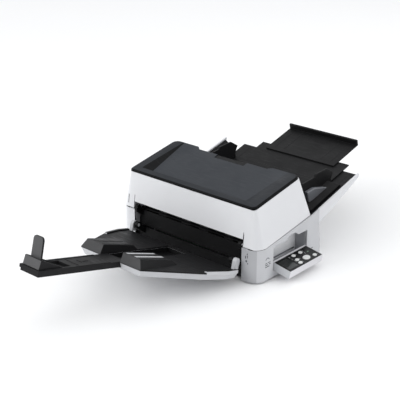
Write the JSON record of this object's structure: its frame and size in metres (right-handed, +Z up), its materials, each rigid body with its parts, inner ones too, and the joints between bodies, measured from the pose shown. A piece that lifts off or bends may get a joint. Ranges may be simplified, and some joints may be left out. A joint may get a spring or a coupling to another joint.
{
  "type": "sheet fed document scanner",
  "caption": "Desktop sheet fed document scanner with a hinged upper unit, folding stacker with pull-out stop, rear chute with side guides and a fold-out operator panel.",
  "frame": {"origin": "middle of the whole footprint, as stood on a desk with stacker and chute out, on the desk", "axes": "+Z up, +Y to the rear along the paper path, +X to the operator panel's side"},
  "size_m": [0.48, 1.0274, 0.2139],
  "materials": {
    "housing_grey": "fine moulded texture",
    "shell_white": "fine moulded texture",
    "cover_black": "satin moulded texture",
    "plastic_black": "satin moulded texture",
    "rubber": "matt",
    "steel": "brushed",
    "glass": "polished",
    "screen": "clear gloss window",
    "button_grey": "satin",
    "board": "solder mask"
  },
  "bodies": {
    "base": {"base_housing": "housing_grey", "bottom_plate": "steel", "foot_front_right": "rubber", "foot_front_left": "rubber", "foot_rear_right": "rubber", "foot_rear_left": "rubber", "panel_pocket": "housing_grey", "frame_right": "steel", "frame_left": "steel", "lower_paper_guide": "plastic_black", "lower_glass": "glass", "lower_scan_unit": "plastic_black", "exit_panel": "plastic_black", "feed_motor": "steel", "drive_belt": "rubber", "power_supply": "steel", "main_board": "board", "rear_connector_panel": "plastic_black", "power_inlet": "plastic_black", "usb_port": "steel", "chute_shell": "shell_white", "chute_liner_right": "plastic_black", "chute_liner_left": "plastic_black"},
    "upper_unit": {"upper_shell": "shell_white", "top_cover": "cover_black", "upper_paper_guide": "plastic_black", "upper_glass": "glass", "upper_scan_unit": "plastic_black", "rear_guide": "plastic_black"},
    "release_lever": {"release_lever": "plastic_black"},
    "pick_roller": {"pick_roller": "rubber"},
    "feed_roller": {"feed_roller": "rubber"},
    "eject_roller": {"eject_roller": "rubber"},
    "motor_pulley": {"motor_pulley": "steel"},
    "brake_roller": {"brake_roller": "rubber"},
    "feed_idler": {"feed_idler": "rubber"},
    "eject_idler": {"eject_idler": "rubber"},
    "power_switch": {"power_switch": "plastic_black"},
    "stacker": {"stacker_tray": "plastic_black", "stacker_shell": "housing_grey", "stacker_hinge_right": "housing_grey", "stacker_hinge_left": "housing_grey"},
    "stacker_arm": {"stacker_arm": "plastic_black", "stacker_tip": "plastic_black"},
    "stopper_flap": {"stopper_flap": "plastic_black"},
    "lift_plate": {"lift_plate": "plastic_black"},
    "side_guide_right": {"side_guide_right": "plastic_black"},
    "side_guide_left": {"side_guide_left": "plastic_black"},
    "extension_inner": {"chute_extension_inner": "plastic_black"},
    "extension_outer": {"chute_extension_outer": "plastic_black"},
    "operator_panel": {"panel_housing": "shell_white", "panel_face": "plastic_black", "panel_screen": "screen"},
    "panel_button_1": {"panel_button_1": "button_grey"},
    "panel_button_2": {"panel_button_2": "button_grey"},
    "panel_button_3": {"panel_button_3": "button_grey"},
    "panel_button_4": {"panel_button_4": "button_grey"},
    "panel_button_5": {"panel_button_5": "button_grey"},
    "panel_button_scan": {"panel_button_scan": "button_grey"}
  },
  "joints": [
    {"name": "upper_unit_open", "type": "hinge", "parent": "base", "child": "upper_unit", "pos_m": [-0.02401, -0.03956, 0.0902], "axis": [1, 0, 0], "range_deg": [0, 60]},
    {"name": "release_press", "type": "hinge", "parent": "upper_unit", "child": "release_lever", "pos_m": [-0.02401, 0.11344, 0.2059], "axis": [1, 0, 0], "range_deg": [-8, 0], "stiffness_Nm_per_rad": 0.5},
    {"name": "pick_spin", "type": "hinge", "parent": "base", "child": "pick_roller", "pos_m": [-0.02401, 0.14944, 0.08155], "axis": [1, 0, 0], "continuous": true},
    {"name": "feed_spin", "type": "hinge", "parent": "base", "child": "feed_roller", "pos_m": [-0.02401, 0.08944, 0.08189], "axis": [1, 0, 0], "continuous": true},
    {"name": "eject_spin", "type": "hinge", "parent": "base", "child": "eject_roller", "pos_m": [-0.02401, -0.00456, 0.07716], "axis": [1, 0, 0], "continuous": true},
    {"name": "motor_spin", "type": "hinge", "parent": "base", "child": "motor_pulley", "pos_m": [-0.02401, 0.11344, 0.042], "axis": [1, 0, 0], "continuous": true},
    {"name": "brake_spin", "type": "hinge", "parent": "upper_unit", "child": "brake_roller", "pos_m": [-0.02401, 0.12144, 0.10625], "axis": [1, 0, 0], "continuous": true},
    {"name": "feed_idler_spin", "type": "hinge", "parent": "upper_unit", "child": "feed_idler", "pos_m": [-0.02401, 0.08944, 0.10029], "axis": [1, 0, 0], "continuous": true},
    {"name": "eject_idler_spin", "type": "hinge", "parent": "upper_unit", "child": "eject_idler", "pos_m": [-0.02401, -0.00456, 0.09356], "axis": [1, 0, 0], "continuous": true},
    {"name": "power_rock", "type": "hinge", "parent": "base", "child": "power_switch", "pos_m": [-0.08201, 0.17544, 0.029], "axis": [1, 0, 0], "range_deg": [0, 8]},
    {"name": "stacker_fold", "type": "hinge", "parent": "base", "child": "stacker", "pos_m": [-0.02401, -0.05456, 0.052], "axis": [1, 0, 0], "range_deg": [-75, 0]},
    {"name": "arm_slide", "type": "slide", "parent": "stacker", "child": "stacker_arm", "axis": [0, -0.9677, 0.2521], "range_m": [-0.198, 0]},
    {"name": "flap_fold", "type": "hinge", "parent": "stacker_arm", "child": "stopper_flap", "pos_m": [-0.02401, -0.49575, 0.14346], "axis": [1, 0, 0], "range_deg": [-90, 0]},
    {"name": "lift_plate_rise", "type": "hinge", "parent": "base", "child": "lift_plate", "pos_m": [-0.02401, 0.32445, 0.12745], "axis": [-1, 0, 0], "range_deg": [0, 5]},
    {"name": "guide_right_slide", "type": "slide", "parent": "lift_plate", "child": "side_guide_right", "axis": [1, 0, 0], "range_m": [-0.12, 0]},
    {"name": "guide_left_slide", "type": "slide", "parent": "lift_plate", "child": "side_guide_left", "axis": [-1, 0, 0], "range_m": [-0.12, 0]},
    {"name": "extension_inner_slide", "type": "slide", "parent": "base", "child": "extension_inner", "axis": [0, 0.9659, 0.2588], "range_m": [-0.09, 0]},
    {"name": "extension_outer_slide", "type": "slide", "parent": "extension_inner", "child": "extension_outer", "axis": [0, 0.9659, 0.2588], "range_m": [-0.095, 0]},
    {"name": "panel_open", "type": "hinge", "parent": "base", "child": "operator_panel", "pos_m": [0.18799, 0.07944, 0.024], "axis": [0, 1, 0], "range_deg": [-100, 0]},
    {"name": "panel_button_1_press", "type": "slide", "parent": "operator_panel", "child": "panel_button_1", "axis": [-0.1736, 0, -0.9848], "range_m": [0, 0.001], "stiffness_N_per_m": 300},
    {"name": "panel_button_2_press", "type": "slide", "parent": "operator_panel", "child": "panel_button_2", "axis": [-0.1736, 0, -0.9848], "range_m": [0, 0.001], "stiffness_N_per_m": 300},
    {"name": "panel_button_3_press", "type": "slide", "parent": "operator_panel", "child": "panel_button_3", "axis": [-0.1736, 0, -0.9848], "range_m": [0, 0.001], "stiffness_N_per_m": 300},
    {"name": "panel_button_4_press", "type": "slide", "parent": "operator_panel", "child": "panel_button_4", "axis": [-0.1736, 0, -0.9848], "range_m": [0, 0.001], "stiffness_N_per_m": 300},
    {"name": "panel_button_5_press", "type": "slide", "parent": "operator_panel", "child": "panel_button_5", "axis": [-0.1736, 0, -0.9848], "range_m": [0, 0.001], "stiffness_N_per_m": 300},
    {"name": "panel_button_scan_press", "type": "slide", "parent": "operator_panel", "child": "panel_button_scan", "axis": [-0.1736, 0, -0.9848], "range_m": [0, 0.001], "stiffness_N_per_m": 300}
  ],
  "couplings": [
    {"joint": "pick_spin", "follows": "feed_spin", "ratio": 1},
    {"joint": "eject_spin", "follows": "feed_spin", "ratio": 1},
    {"joint": "motor_spin", "follows": "feed_spin", "ratio": 1}
  ]
}
